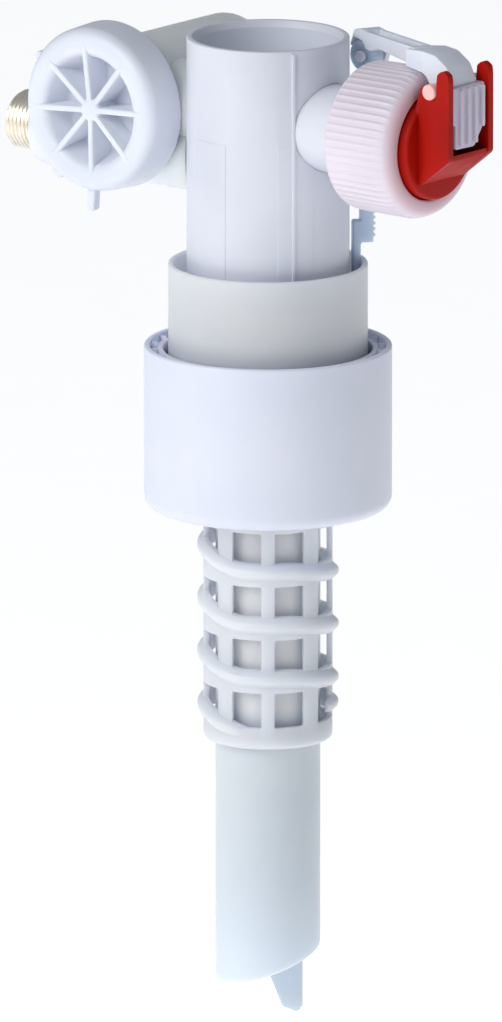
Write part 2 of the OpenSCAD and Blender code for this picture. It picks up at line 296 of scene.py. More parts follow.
def object_coords(tree):
    return tree.nodes.new("ShaderNodeTexCoord").outputs["Object"]


def ramp(tree, source, stops):
    node = tree.nodes.new("ShaderNodeValToRGB")
    node.color_ramp.elements[0].position = stops[0][0]
    node.color_ramp.elements[0].color = stops[0][1]
    node.color_ramp.elements[1].position = stops[-1][0]
    node.color_ramp.elements[1].color = stops[-1][1]
    for position, colour in stops[1:-1]:
        node.color_ramp.elements.new(position).color = colour
    tree.links.new(source, node.inputs["Fac"])
    return node


def level(value):
    return (value, value, value, 1)


def bump(tree, shader, sources, strength, distance):
    """Chains bump nodes, one for each (height, strength) pair."""
    last = None
    for height, share in sources:
        node = tree.nodes.new("ShaderNodeBump")
        node.inputs["Strength"].default_value = strength * share
        node.inputs["Distance"].default_value = distance
        tree.links.new(height, node.inputs["Height"])
        if last is not None:
            tree.links.new(last.outputs["Normal"], node.inputs["Normal"])
        last = node
    tree.links.new(last.outputs["Normal"], shader.inputs["Normal"])


def moulded_plastic(name, pale, deep, gloss=0.32, inner=0.25, radius=3.0, sink=0.3, shine=0.5):
    """Injection-moulded plastic: cloudy tone, upright flow marks and a fine spark-eroded grain.

    gloss is the middle roughness, inner the share of light that spreads inside, radius how far in mm,
    sink the depth of the soft sink marks and shine the specular level.
    """
    mat, tree, shader = new_material(name)
    where = object_coords(tree)
    cloud = noise(tree, 30.0, coords=where)
    tone = ramp(tree, cloud.outputs["Fac"], [(0.32, linear(deep)), (0.62, linear(pale))])
    tree.links.new(tone.outputs["Color"], shader.inputs["Base Color"])
    drawn = tree.nodes.new("ShaderNodeMapping")
    drawn.inputs["Scale"].default_value = (260.0, 260.0, 30.0)
    tree.links.new(where, drawn.inputs["Vector"])
    flow = noise(tree, 1.0, detail=1.0, coords=drawn.outputs["Vector"])
    sheen = ramp(tree, flow.outputs["Fac"], [(0.2, level(gloss - 0.03)), (0.8, level(gloss + 0.05))])
    tree.links.new(sheen.outputs["Color"], shader.inputs["Roughness"])
    grain = noise(tree, 1900.0, detail=2.0, coords=where)
    heights = [(cloud.outputs["Fac"], sink), (grain.outputs["Fac"], 0.10)]
    bump(tree, shader, heights, strength=0.22, distance=0.12 * MM)
    shader.inputs["IOR"].default_value = 1.49
    shader.inputs["Specular IOR Level"].default_value = shine
    shader.inputs["Subsurface Weight"].default_value = inner
    shader.inputs["Subsurface Radius"].default_value = (radius * MM, radius * 1.05 * MM, radius * 1.2 * MM)
    shader.inputs["Subsurface Scale"].default_value = 1.0
    return mat


def cloudy_plastic(name, pale, deep, through=0.0, gloss=0.34):
    """Natural polypropylene: milky, light spreads inside it and a share may go through."""
    mat = moulded_plastic(name, pale, deep, gloss, inner=0.75, radius=7.0, sink=0.15)
    shader = shader_of(mat)
    shader.inputs["Transmission Weight"].default_value = through
    shader.inputs["IOR"].default_value = 1.4
    return mat


def paint_light_along(mat, axis, start, end, pale, share):
    """Paints light into the base colour: blends it towards another from start to end along one axis, in
    metres of the frame.
    """
    tree, shader = mat.node_tree, shader_of(mat)
    parts = tree.nodes.new("ShaderNodeSeparateXYZ")
    tree.links.new(object_coords(tree), parts.inputs["Vector"])
    reach = tree.nodes.new("ShaderNodeMapRange")
    reach.inputs["From Min"].default_value = start
    reach.inputs["From Max"].default_value = end
    reach.inputs["To Max"].default_value = share
    tree.links.new(parts.outputs[axis], reach.inputs["Value"])
    mix = tree.nodes.new("ShaderNodeMix")
    mix.data_type = "RGBA"
    tree.links.new(reach.outputs["Result"], mix.inputs["Factor"])
    tree.links.new(shader.inputs["Base Color"].links[0].from_socket, mix.inputs["A"])
    mix.inputs["B"].default_value = linear(pale)
    tree.links.new(mix.outputs["Result"], shader.inputs["Base Color"])


def rubber(name):
    """Black seal rubber with a fine matt grain."""
    mat, tree, shader = new_material(name)
    where = object_coords(tree)
    fine = noise(tree, 2600.0, rough=0.6, coords=where)
    tone = ramp(tree, fine.outputs["Fac"], [(0.3, linear((30, 30, 32))), (0.7, linear((52, 52, 55)))])
    tree.links.new(tone.outputs["Color"], shader.inputs["Base Color"])
    bump(tree, shader, [(fine.outputs["Fac"], 1.0)], strength=0.35, distance=0.1 * MM)
    shader.inputs["Roughness"].default_value = 0.62
    return mat


def turned_metal(name, pale, deep, rough=0.24):
    """Plated turned metal with lathe lines round the X axis."""
    mat, tree, shader = new_material(name)
    where = object_coords(tree)
    stretch = tree.nodes.new("ShaderNodeMapping")
    stretch.inputs["Scale"].default_value = (9000.0, 260.0, 260.0)
    tree.links.new(where, stretch.inputs["Vector"])
    lines = noise(tree, 1.0, detail=2.0, coords=stretch.outputs["Vector"])
    stain = noise(tree, 150.0, rough=0.6, coords=where)
    tone = ramp(tree, stain.outputs["Fac"], [(0.3, linear(deep)), (0.66, linear(pale))])
    tree.links.new(tone.outputs["Color"], shader.inputs["Base Color"])
    gloss = ramp(tree, lines.outputs["Fac"], [(0.3, level(rough - 0.06)), (0.7, level(rough + 0.12))])
    tree.links.new(gloss.outputs["Color"], shader.inputs["Roughness"])
    bump(tree, shader, [(lines.outputs["Fac"], 1.0)], strength=0.16, distance=0.05 * MM)
    shader.inputs["Metallic"].default_value = 1.0
    return mat


WHITE = moulded_plastic("white_plastic", (226, 230, 240), (217, 222, 234), gloss=0.34, inner=0.2)
COLUMN_WHITE = moulded_plastic("column_plastic", (217, 219, 229), (209, 212, 224), gloss=0.38, inner=0.15)
CAP_WHITE = moulded_plastic("cap_plastic", (222, 226, 236), (213, 218, 230),
                            gloss=0.34, inner=0.25, radius=2.0)
FLOAT_WHITE = moulded_plastic("float_plastic", (222, 225, 240), (216, 220, 236),
                              gloss=0.36, inner=0.2, sink=0.08)
WARM_WHITE = moulded_plastic("nut_plastic", (226, 217, 227), (218, 208, 219),
                             gloss=0.38, inner=0.12, radius=1.2)
RED = moulded_plastic("red_plastic", (180, 18, 5), (150, 11, 3),
                      gloss=0.46, inner=0.0, radius=1.0, sink=0.12, shine=0.14)
HOLDER_LILAC = moulded_plastic("holder_plastic", (208, 200, 216), (194, 185, 204), gloss=0.34, inner=0.2)
PINK = moulded_plastic("pin_plastic", (252, 200, 192), (246, 180, 174), gloss=0.36, inner=0.3)
INSERT_BLUE = moulded_plastic("insert_plastic", (70, 130, 185), (52, 108, 165), gloss=0.35, inner=0.2)
BLUE_CLOUD = cloudy_plastic("cloudy_plastic", (238, 245, 253), (230, 239, 250))
CARRIER_CLOUD = cloudy_plastic("carrier_plastic", (236, 241, 255), (229, 236, 253), through=0.15)
TUBE_CLOUD = cloudy_plastic("tube_plastic", (219, 231, 246), (211, 224, 242))
ROD_BLUE = cloudy_plastic("rod_plastic", (190, 205, 228), (178, 194, 219))
RUBBER = rubber("seal_rubber")
BRASS = turned_metal("plated_brass", (255, 250, 240), (245, 234, 216), rough=0.3)
STEEL = turned_metal("wire_steel", (205, 207, 212), (170, 172, 178))

# Painted light: the tube is painted paler inside the cage, to lift the shade that the cage casts on it
# through the windows.
paint_light_along(TUBE_CLOUD, "Z", RIM_Z - 189 * MM, RIM_Z - 183 * MM, (244, 249, 255), 1.0)
# Painted red glow: the nut is painted pinkish beside the red cover, for the cover's red light that shines
# through it.
paint_light_along(WARM_WHITE, "X", AXIS_X + 54.8 * MM, AXIS_X + 57.2 * MM, (222, 160, 170), 0.5)


# ---------------------------------------------------------------- pieces, in millimetres from the rim

HEAD = -22.5                  # axis through the strainer, the seat and the ring nut
STRAINER_X = -43.0
INLET_Z = -RIM_Z / MM
SOCKET_X = -75.0              # outer face of the inlet's socket
COLUMN_R, COLUMN_BORE, COLUMN_FOOT = 22.0, 19.5, -80.0
GALLERY_R = 12.0
CHAMBER_R = 15.0              # inside the strainer's housing
NUT_THREAD_R = 17.4
PIN_X, PIN_UP = 63.5, 17.0    # the lever's pivot, its height counted from the head's axis
PIN_R = 2.15
EAR_Y = 8.6                   # middle of each red ear
ROD_TURN = 51.0               # where the push rod stands round the column, in degrees
ROD_R = 27.1
ROD_XY = (ROD_R * math.cos(math.radians(ROD_TURN)), ROD_R * math.sin(math.radians(ROD_TURN)))
ROD_PIN_Z = -6.5
ROD_PIN_R = 1.6
COLLAR_R, COLLAR_TOP = 27.0, -62.4
CAGE_R, CAGE_BORE, CAGE_TOP, CAGE_FOOT = 17.5, 15.9, -90.0, -194.0
PITCH = 14.75                 # of the cage's ridge, and of its rows of windows
FLOAT_R, FLOAT_TOP, FLOAT_FOOT, FLOAT_WALL = 33.55, -85.0, -130.0, 1.6
DROP, DROP_TURN = 1.9, 65     # the ridge dips by DROP over the first DROP_TURN degrees from the left
TUBE_R, TUBE_TOP, TUBE_FOOT = 14.2, -47.0, -262.0
FRONT_TURN = 39.0             # the blade and the cage's windows face the photo's view

ALONG_X = turn(90, "Y")       # takes +Z to +X
ALONG_Y = turn(-90, "X")      # takes +Z to +Y
TO_FRONT = turn(90, "X")      # takes +Z to -Y and +Y to +Z
FACE_X = Matrix(((0, 0, 1, 0), (1, 0, 0, 0), (0, 1, 0, 0), (0, 0, 0, 1)))    # +Z to +X, +X to +Y

AT_HEAD = shift(0, 0, HEAD)
AT_STRAINER = shift(STRAINER_X, 0, HEAD)
AT_INLET = shift(0, 0, INLET_Z)
AT_PIN = shift(PIN_X, 0, HEAD + PIN_UP)
AT_ROD_PIN = shift(*ROD_XY, ROD_PIN_Z)


def tube(name, r_out, r_in, low, high, radii=0.3, segments=128):
    outline = rounded([(r_in, low), (r_out, low), (r_out, high), (r_in, high)], radii)
    return lathe(name, outline, segments)


def disc(name, r, low, high, radius=0.3, segments=128):
    """A solid round piece, closed on the axis."""
    outline = rounded([(0, low), (r, low), (r, high), (0, high)], [0, radius, radius, 0])
    return merge_close(lathe(name, outline, segments), 0.05)


def guide_column():
    outline = rounded([(COLUMN_BORE, COLUMN_FOOT), (COLUMN_R, COLUMN_FOOT), (COLUMN_R, 0),
                       (COLUMN_R - 1.5, 0), (COLUMN_BORE, -1.8)], [0.2, 0.3, 0.5, 0.4, 0.3])
    body = lathe("guide_column_skin", outline, 192)
    inside = COLUMN_R - 1
    panel_r, panel_top = COLUMN_R + 0.12, -26.3
    for middle, half in ((-97.0, 14.5), (-31.0, 13.5)):
        panel = arc_band(middle, half, panel_r, inside, 24)
        fuse(body, prism("panel", panel, COLUMN_FOOT + 0.2, panel_top))
    rib_turn, rib_half = -33, 0.42
    rib = box_piece("rib", (inside, -rib_half, COLUMN_FOOT + 0.4), (COLUMN_R + 0.6, rib_half, -0.8))
    fuse(body, place(rib, turn(rib_turn, "Z")))
    for x in (-30, 8):
        hole = disc("hole", GALLERY_R + 0.1, 0, 22, 0, 96)
        cut(body, place(hole, ALONG_X, shift(x, 0, HEAD)))
    soften(body, 0.14, 2, 40)
    settle(body, "guide_column", "valve", COLUMN_WHITE)


def inlet_housing():
    front, back, wall = -12, 38, 2
    body = disc("inlet_housing_skin", CHAMBER_R + wall, front, back, 1.6, 128)
    place(body, ALONG_Y, AT_STRAINER)
    barrel = disc("barrel", 11.5, -67, -15, 0.8, 96)
    socket = disc("socket", 10, SOCKET_X, -50, 0.4, 96)
    flange = disc("flange", 12.6, -66.8, -64.4, 0.5, 96)
    fuse(body, *(place(p, ALONG_X, AT_INLET) for p in (barrel, socket, flange)))
    cut(body, disc("room_for_column", COLUMN_R + 0.6, -100, 10, 0, 128))
    fuse(body, place(disc("gallery", GALLERY_R, STRAINER_X, -16.5, 0, 128), ALONG_X, AT_HEAD))
    chamber = disc("chamber", CHAMBER_R, front - 1, back - wall, 1.0, 96)
    cut(body, place(chamber, ALONG_Y, AT_STRAINER))
    cut(body, place(disc("way", 9, STRAINER_X, -10, 0, 64), ALONG_X, AT_HEAD))
    cut(body, place(disc("bore", 8.38, -76, -65, 0, 64), ALONG_X, AT_INLET))
    cut(body, place(disc("bore_in", 6.5, -70, -45, 0, 64), ALONG_X, AT_INLET))
    soften(body, 0.5, 3, 40)
    settle(body, "inlet_housing", "valve", BLUE_CLOUD)


def diaphragm_housing():
    outline = rounded([(10, 16.5), (GALLERY_R, 16.5), (GALLERY_R, 30.5), (NUT_THREAD_R, 34.6),
                       (NUT_THREAD_R, 50), (15, 50), (15, 43), (10, 43)],
                      [0, 0.3, 1.0, 1.0, 0.3, 0.3, 0.3, 0.3])
    shell = lathe("diaphragm_housing_skin", outline, 128)
    nozzle = tube("nozzle", 7, 5.5, 16.5, 49.2, 0.3, 96)
    ribs = []
    for angle in (0, 120, 240):
        rib = box_piece("rib", (-0.8, 6.6, 16.6), (0.8, 10.6, 40.5))
        ribs.append(place(rib, turn(angle, "Z")))
    body = fuse(shell, nozzle, *ribs)
    place(body, ALONG_X, AT_HEAD)
    settle(body, "diaphragm_housing", "valve", COLUMN_WHITE)


def thread_profile(t):
    """Height of a 55 degree thread at a phase of 0 to 1, as a share of its depth."""
    v = abs(2 * (t % 1.0) - 1)
    return max(0.0, min(1.0, (v - 0.14) / 0.72))


def inlet_nipple():
    pitch, depth, major = 1.337, 0.82, 8.33
    start, end = -86.0, -68.0
    bore, wide_bore, wide_length = 5.5, 6.6, 9
    thread_stop, run_out = SOCKET_X - 0.4, 1.2
    segments, per_pitch = 96, 10
    rows = int((end - start) / pitch * per_pitch)
    rings = []
    for i in range(rows + 1):
        x = start + (end - start) * i / rows
        chamfer = 6.9 + min(1.6, max(0.0, x - start) * 1.3)
        fade = min(1.0, max(0.0, (thread_stop - x) / run_out))
        ring = []
        for k in range(segments):
            wave = thread_profile((x - start) / pitch - k / segments)
            r = min(major - depth * fade * (1 - wave), chamfer)
            ring.append((x, min(r, major - 0.05) if x > SOCKET_X else r))
        rings.append(ring)
    first_inner = len(rings) * segments
    step_x = start + wide_length
    inner = ((start, wide_bore), (step_x, wide_bore), (step_x + 0.6, bore), (end, bore))
    rings += [[point] * segments for point in inner]
    verts = []
    for ring in rings:
        for k, (x, r) in enumerate(ring):
            a = TAU * k / segments
            verts.append((x, r * math.cos(a), r * math.sin(a)))
    faces = join_rings(rows + 1, segments) + join_rings(len(inner), segments, first_inner)
    last_outer, last_inner = rows * segments, first_inner + (len(inner) - 1) * segments
    for k in range(segments):
        j = (k + 1) % segments
        faces.append((k, j, first_inner + j, first_inner + k))
        faces.append((last_outer + k, last_inner + k, last_inner + j, last_outer + j))
    body = merge_close(mesh_object("threaded_nipple", verts, faces))
    place(body, AT_INLET)
    settle(body, "inlet_nipple", "valve", BRASS, angle=28)


def inlet_socket_ring():
    ring = tube("socket_ring", 11.2, 10.05, SOCKET_X, -70, [0.1, 0.7, 0.7, 0.1])
    place(ring, ALONG_X, AT_INLET)
    settle(ring, "inlet_socket_ring", "valve", WHITE)


def strainer_cap():
    back, floor, crown = 12.3, 16.2, 24.5
    rim = rounded([(0, back), (23, back), (22.3, crown), (15.4, crown), (12.6, floor), (0, floor)],
                  [0, 0.6, 4.6, 3.0, 1.6, 0], 9)
    body = merge_close(lathe("spoked_cap", rim, 160), 0.05)
    added = [disc("hub", 3.4, 14, 23.9, 1.5, 48)]
    spokes, spoke_half, first_turn = 8, 0.8, 4
    outline = rounded([(1.0, 14.5), (1.0, 23.7), (17.6, 24.7), (20.6, 24.1), (21.6, 20.4), (20.5, 15.0)],
                      [0, 0, 2.0, 1.6, 1.0, 0], 5)
    for k in range(spokes):
        spoke = soften(prism("spoke", outline, -spoke_half, spoke_half), 0.5, 3, 40)
        added.append(place(spoke, TO_FRONT, turn(first_turn + 360 / spokes * k, "Z")))
    lug_root, lug_back, lug_front = 20, 18.8, 21.6
    for angle, width, reach in ((148, 2.8, 24.0), (-124, 3.8, 24.6), (-93, 2.6, 28.5)):
        half = width / 2
        outline = rounded([(lug_root, -half), (reach, -half), (reach, half), (lug_root, half)],
                          [0, width * 0.42, width * 0.42, 0], 6)
        lug = soften(prism("lug", outline, lug_back, lug_front), 0.5, 3, 50)
        added.append(place(lug, turn(angle, "Z")))
    fuse(body, *added)
    spigot = tube("spigot", CHAMBER_R - 0.05, 12, 2, 13, [0.3, 0.6, 0, 0])
    seal_groove = tube("groove", 16, 12.6, 6.7, 9.3, 0)
    fuse(body, cut(spigot, seal_groove))
    soften(body, 0.2, 2, 45)
    place(body, TO_FRONT, AT_STRAINER)
    settle(body, "strainer_cap", "cap", CAP_WHITE, angle=40)


def ring_nut():
    ribs, per_rib = 60, 8
    segments = ribs * per_rib
    back, front, bore = 35.0, 57.0, NUT_THREAD_R + 0.05
    # Each point is (radius, X, how far a rib raises it).
    outline = [(bore, back, 0), (18.6, back, 0), (19.4, 35.15, 0), (20.0, 35.7, 0.06), (20.15, 36.6, 0.2),
               (20.15, 52.4, 0.35), (20.0, 54.0, 0.2), (19.6, 55.3, 0), (18.9, 56.3, 0), (17.9, 56.9, 0),
               (16.9, front, 0), (15.6, front, 0), (15.1, 56.8, 0), (15.0, 56.3, 0), (15.0, 55.2, 0),
               (15.0, 54.9, 0), (bore, 54.9, 0)]
    verts = []
    for k in range(segments):
        a = TAU * k / segments
        wave = max(0.0, math.cos(ribs * a)) ** 0.7
        for r, x, rise in outline:
            r += rise * wave
            verts.append((r * math.cos(a), r * math.sin(a), x))
    faces = join_rings(segments, len(outline), closed=True)
    body = merge_close(mesh_object("ribbed_nut", verts, faces))
    place(body, ALONG_X, AT_HEAD)
    settle(body, "ring_nut", "nut", WARM_WHITE, angle=60)


def pilot_cover():
    body = disc("red_cover", 14.6, 52, 59.6, 0.9, 128)
    fuse(body, disc("clamp_flange", 17.1, 51.6, 54.8, 0.3, 128))
    cut(body, disc("chamber", 12, 50, 56, 0.5, 64))
    place(body, ALONG_X)
    side_outline = rounded(
        [(58, -9.3), (60.4, -9.0), (70, -1.4), (70, 20.2), (69.7, 22.2), (67.7, 23.4), (66.0, 22.0),
         (65.75, 19.6), (65.75, 15), (61.2, 15), (61.2, 17.9), (60.4, 17.9), (58, 9.5)],
        [0, 1.0, 2.0, 1.2, 1.2, 1.2, 1.0, 0.6, 1.2, 1.2, 0.3, 0.4, 0.8], 5)
    for side in (-1, 1):
        wall = prism("ear", side_outline, side * EAR_Y - 1, side * EAR_Y + 1)
        fuse(body, merge_close(place(wall, TO_FRONT, Matrix.Scale(-1, 4, (0, 1, 0)))))
    floor_outline = [(57.9, -9.4), (60.4, -9.0), (69.6, -1.6), (69.6, -0.2), (59.4, -8.0), (57.9, -8.2)]
    floor = prism("floor", floor_outline, -8.4, 8.4)
    fuse(body, merge_close(place(floor, TO_FRONT)))
    at_pilot = shift(0, 0, 6)
    nozzle = disc("pilot", 2.6, 58, 61.3, 0.2, 48)
    tip = disc("tip", 1.5, 61, 62.6, 0.35, 48)
    for part in (nozzle, tip):
        fuse(body, place(part, ALONG_X, at_pilot))
    cut(body, place(disc("jet", 0.6, 54, 64, 0, 24), ALONG_X, at_pilot))
    seat = disc("pin_seat", PIN_R + 0.05, -12, 12, 0, 48)
    cut(body, place(seat, ALONG_Y, shift(PIN_X, 0, PIN_UP)))
    soften(body, 0.3, 3, 40)
    place(body, AT_HEAD)
    settle(body, "pilot_cover", "valve", RED, angle=40)


def lever_arm():
    knee = rounded(
        [(50, 21.4), (50, 26.0), (57, 26.6), (61.5, 26.0), (65.6, 23.2), (67.8, 19.0), (67.8, 10),
         (66.4, 10), (66.4, 17.0), (65.6, 13.6), (61.4, 13.6), (60.0, 17.6), (58.0, 20.6)],
        [0, 0.5, 4, 4, 3, 2, 0.3, 0.3, 0.6, 1.8, 1.8, 2.5, 2.5], 6)
    body = place(prism("lever_arm_skin", knee, -5, 5), TO_FRONT, AT_HEAD)
    wedges = []
    for side in (-1, 1):
        taper = [(48, side * 2.6), (57.5, side * 5.02), (57.5, side * 9), (48, side * 9)]
        wedges.append(prism("wedge", taper, -6, 9))
    cut(body, *wedges)
    soften(body, 0.6, 3, 40)
    dx, dy = 54 - ROD_XY[0], ROD_XY[1]      # the beam runs from the rod to X 54 on the middle line
    length = math.hypot(dx, dy)
    profile = rounded(
        [(-4.6, -4.4), (-1.4, 0.6), (2.4, 1.5), (7.5, 1.5), (length, 4.05), (length, -1.0), (16, -1.5),
         (10, -3.3), (6.5, -3.3), (5.4, -1.6), (-1.8, -1.6), (-3.6, -4.4)],
        [0.4, 2.0, 2.0, 3, 0, 0, 3, 1.5, 0.6, 0.5, 1.0, 0.4], 5)
    beam = place(prism("beam", profile, -3, 3), TO_FRONT)
    channel = box_piece("channel", (6.5, -1.7, 0.3), (length - 3, 1.7, 9))
    cut(beam, channel)
    soften(beam, 0.45, 3, 40)
    place(beam, turn(-math.degrees(math.atan2(dy, dx)), "Z"), shift(*ROD_XY, 0))
    fuse(body, beam)
    cheek = rounded([(-4.8, 0), (-3.4, -3.6), (0, -5.2), (3.4, -3.6), (4.6, 0), (5.4, 1.5), (5.4, 5.6),
                     (-1.0, 6.2), (-4.0, 3.2)], [2, 2, 2, 2, 2, 1, 0.6, 1.5, 1.5], 4)
    ear = place(prism("cheek", cheek, -4.6, -2.8), TO_FRONT)
    bridge = box_piece("bridge", (1, -3, 3.8), (5.4, 4.6, 5.6))
    fuse(ear, bridge)
    slot = rounded([(-2.9, -1.95), (2.9, -1.95), (2.9, 1.95), (-2.9, 1.95)], 1.9, 6)
    cut(ear, place(prism("slot", slot, -8, 8), TO_FRONT))
    soften(ear, 0.35, 3, 40)
    fuse(body, place(ear, AT_ROD_PIN))
    hole = disc("pin_hole", PIN_R + 0.02, -7, 7, 0, 48)
    cut(body, place(hole, ALONG_Y, AT_PIN))
    settle(body, "lever_arm", "lever", WHITE, angle=45)


def lever_pin():
    pin = disc("pivot_pin", PIN_R, -10.4, 10.4, 0.45, 64)
    place(pin, ALONG_Y, AT_PIN)
    settle(pin, "lever_pin", "lever", PINK)


def pad_holder():
    outline = rounded([(-7.0, -4.4), (-7.0, -14.0), (-5.6, -14.8), (-5.6, -21.4), (2.6, -21.6),
                       (7.0, -15.6), (7.0, -4.4)], [0.6, 0.6, 0.5, 1.0, 1.2, 1.4, 0.6], 5)
    body = merge_close(place(prism("pad_block", outline, 66, 69.2), FACE_X))
    soften(body, 0.4, 3, 40)
    ribs = []
    for y, foot in ((-3.6, -20.6), (-0.4, -20.6), (2.6, -20.4), (5.6, -16.4)):
        rib = rounded([(-0.55, foot), (0.55, foot), (0.55, -5.0), (-0.55, -5.0)], 0.5, 4)
        ribs.append(merge_close(place(prism("rib", rib, 69.0, 70.0), FACE_X, shift(0, y, 0))))
    fuse(body, *ribs)
    pad_seat = place(disc("pad_seat", 3.05, 65, 66.9, 0, 48), ALONG_X, shift(0, 0, -15.7))
    cut(body, box_piece("pocket", (65.5, -5.1, -12.6), (67.9, 5.1, 0)), pad_seat)
    soften(body, 0.15, 2, 50)
    settle(body, "pad_holder", "lever", HOLDER_LILAC, angle=40)


def push_rod():
    bar = soften(box_piece("toothed_rod", (ROD_R - 1.7, -1.8, -58), (ROD_R + 1.7, 1.8, -8)), 0.35, 3)
    foot = rounded([(23.3, -86), (25.3, -86), (25.3, -58.4), (26.8, -57), (26.8, -52), (23.3, -52)],
                   [0.4, 0.4, 0.5, 0.5, 0, 0.6], 4)
    fuse(bar, soften(place(prism("foot", foot, -1.8, 1.8), TO_FRONT), 0.25, 2))
    teeth, lowest, tooth_pitch = 9, -56, 1.6
    outline = rounded([(ROD_R + 1.4, -0.85), (ROD_R + 2.5, 0), (ROD_R + 1.4, 0.85)], [0, 0.2, 0], 3)
    for k in range(teeth):
        tooth = prism("tooth", outline, -1.5, 1.5)
        fuse(bar, place(tooth, TO_FRONT, shift(0, 0, lowest + tooth_pitch * k)))
    place(bar, turn(ROD_TURN, "Z"))
    knuckle = disc("knuckle", 4.6, -2.0, 2.4, 1.2, 64)
    fuse(bar, place(knuckle, ALONG_Y, AT_ROD_PIN))
    hole = disc("eye", ROD_PIN_R + 0.02, -8, 8, 0, 48)
    cut(bar, place(hole, ALONG_Y, AT_ROD_PIN))
    settle(bar, "push_rod", "carrier", ROD_BLUE, angle=45)


def rod_clevis_pin():
    pin = disc("rod_pin", ROD_PIN_R, -3.3, 4.8, 0.35, 48)
    place(pin, ALONG_Y, AT_ROD_PIN)
    settle(pin, "rod_clevis_pin", "carrier", WHITE)


def ridge_drop(from_left):
    """How far the ridge hangs below its helix, so that it passes under each front window."""
    if from_left < DROP_TURN:
        t = from_left / DROP_TURN
        return DROP * t * t * (3 - 2 * t)
    return max(0.0, DROP - (from_left - DROP_TURN) * PITCH / 360)


def sweep_ridge(name, path):
    """A rounded ridge on the cage along (angle, height) points, fading out at both ends."""
    root, fade_steps = 16.4, 5
    section = rounded([(root, -2.7), (17.55, -2.3), (18.95, -1.0), (19.2, -0.4), (19.2, 0.4),
                       (18.95, 1.0), (17.55, 2.3), (root, 2.7)], [0, 0.7, 0.6, 0.4, 0.4, 0.6, 0.7, 0], 4)
    n, last = len(section), len(path) - 1
    verts = []
    for k, (angle, z) in enumerate(path):
        grow = math.sqrt(min(1.0, min(k, last - k) / fade_steps))
        for r, h in section:
            r = root + (r - root) * (0.25 + 0.75 * grow)
            verts.append((r * math.cos(angle), r * math.sin(angle), z + h * (0.5 + 0.5 * grow)))
    faces = join_rings(len(path), n)
    faces.append(tuple(range(n)))
    faces.append(tuple(range(last * n + n - 1, last * n - 1, -1)))
    return merge_close(mesh_object(name, verts, faces))


def ridges():
    """Six left-handed turns that end at the left, and a stop across the back of the foot."""
    left, step = math.radians(FRONT_TURN + 180), 5
    foot, lowest = -184.6, -189.6
    path = []
    for degrees in range(-6 * 360, 71, step):
        z = foot - PITCH * degrees / 360 - ridge_drop(degrees % 360)
        path.append((left + math.radians(degrees), max(z, lowest)))
    stop = [(left + math.radians(degrees), foot) for degrees in range(-200, -14, step)]
    return sweep_ridge("ridge", path), sweep_ridge("stop", stop)


def float_collar():
    inside, floor, hole = COLLAR_R - 1.5, CAGE_TOP + 1.8, 14.6
    outline = rounded([(inside, floor), (inside, COLLAR_TOP), (COLLAR_R, COLLAR_TOP), (COLLAR_R, CAGE_TOP),
                       (hole, CAGE_TOP), (hole, floor)], [0.6, 0.55, 0.55, 1.2, 0.3, 0.3], 5)
    body = lathe("collar_skin", outline, 160)
    guides = []
    for side in (-1, 1):
        guide = box_piece("guide", (23.4, side * 2.7 - 0.6, -89), (25.8, side * 2.7 + 0.6, -67))
        guides.append(place(guide, turn(ROD_TURN, "Z")))
    fuse(body, *guides)
    soften(body, 0.12, 2, 50)
    settle(body, "float_collar", "carrier", CARRIER_CLOUD, angle=40)


def float_cage():
    lip, floor = 14.6, CAGE_FOOT + 2.5
    outline = rounded([(CAGE_BORE, CAGE_TOP), (CAGE_R, CAGE_TOP), (CAGE_R, CAGE_FOOT), (lip, CAGE_FOOT),
                       (lip, floor), (CAGE_BORE, floor)], [0, 0, 2.2, 0.4, 0.3, 0.3], 6)
    body = lathe("cage_skin", outline, 144)
    front, rows, lowest, up = FRONT_TURN - 90, 6, -183.1, 4.85
    windows = []
    for off_front, width in ((20, 8.5), (67, 9.8), (113, 9.8), (155, 8.0)):
        half = width / 2
        hole = rounded([(-half, -up), (half, -up), (half, up), (-half, up)], 0.6, 3)
        for row in range(rows):
            for side in (-1, 1):
                window = place(prism("window", hole, 13.6, 19.0), FACE_X,
                               turn(front + side * off_front, "Z"), shift(0, 0, lowest + PITCH * row))
                windows.append(merge_close(window))
    cut(body, join("windows", windows))
    fuse(body, *ridges())
    cut(body, disc("way", CAGE_BORE, floor + 0.1, CAGE_TOP + 1.5, 0, 144))
    soften(body, 0.12, 2, 50)
    settle(body, "float_cage", "carrier", CARRIER_CLOUD, angle=40)


def float_cup():
    bore, inside, floor = 19.7, FLOAT_R - FLOAT_WALL, FLOAT_FOOT + FLOAT_WALL
    outline = rounded(
        [(bore, FLOAT_FOOT), (FLOAT_R, FLOAT_FOOT), (FLOAT_R, FLOAT_TOP), (inside, FLOAT_TOP),
         (inside, floor), (22.9, floor), (22.9, -105.6), (29.8, -105.6), (29.8, -86), (28.3, -86),
         (28.3, -104), (bore, -104), (bore, -122.2), (21, -122.2), (21, -126), (bore, -126)],
        [0.5, 3.6, 0.7, 0.5, 2.0, 1, 1, 1, 0.4, 0.4, 1.0, 0.5, 0.2, 0.2, 0.2, 0.2], 7)
    body = lathe("float_shell", outline, 192)
    lug_turn, lug_half, lug_tip = 141, 12, 18.1
    lug = arc_band(lug_turn, lug_half, lug_tip, bore + 0.4, 10)
    fuse(body, prism("lug", lug, -119.9, -117.5))
    settle(body, "float_cup", "float", FLOAT_WHITE, angle=40)


def float_lid():
    body = tube("lid", 31.9, 29.9, -88.5, -87.1, 0.25, 160)
    count = 24
    ribs = []
    for k in range(count):
        rib = box_piece("rib", (30.1, -0.4, -87.4), (31.7, 0.4, -85.7))
        ribs.append(place(rib, turn(360 / count * k, "Z")))
    fuse(body, *ribs)
    soften(body, 0.12, 2, 45)
    settle(body, "float_lid", "float", FLOAT_WHITE)


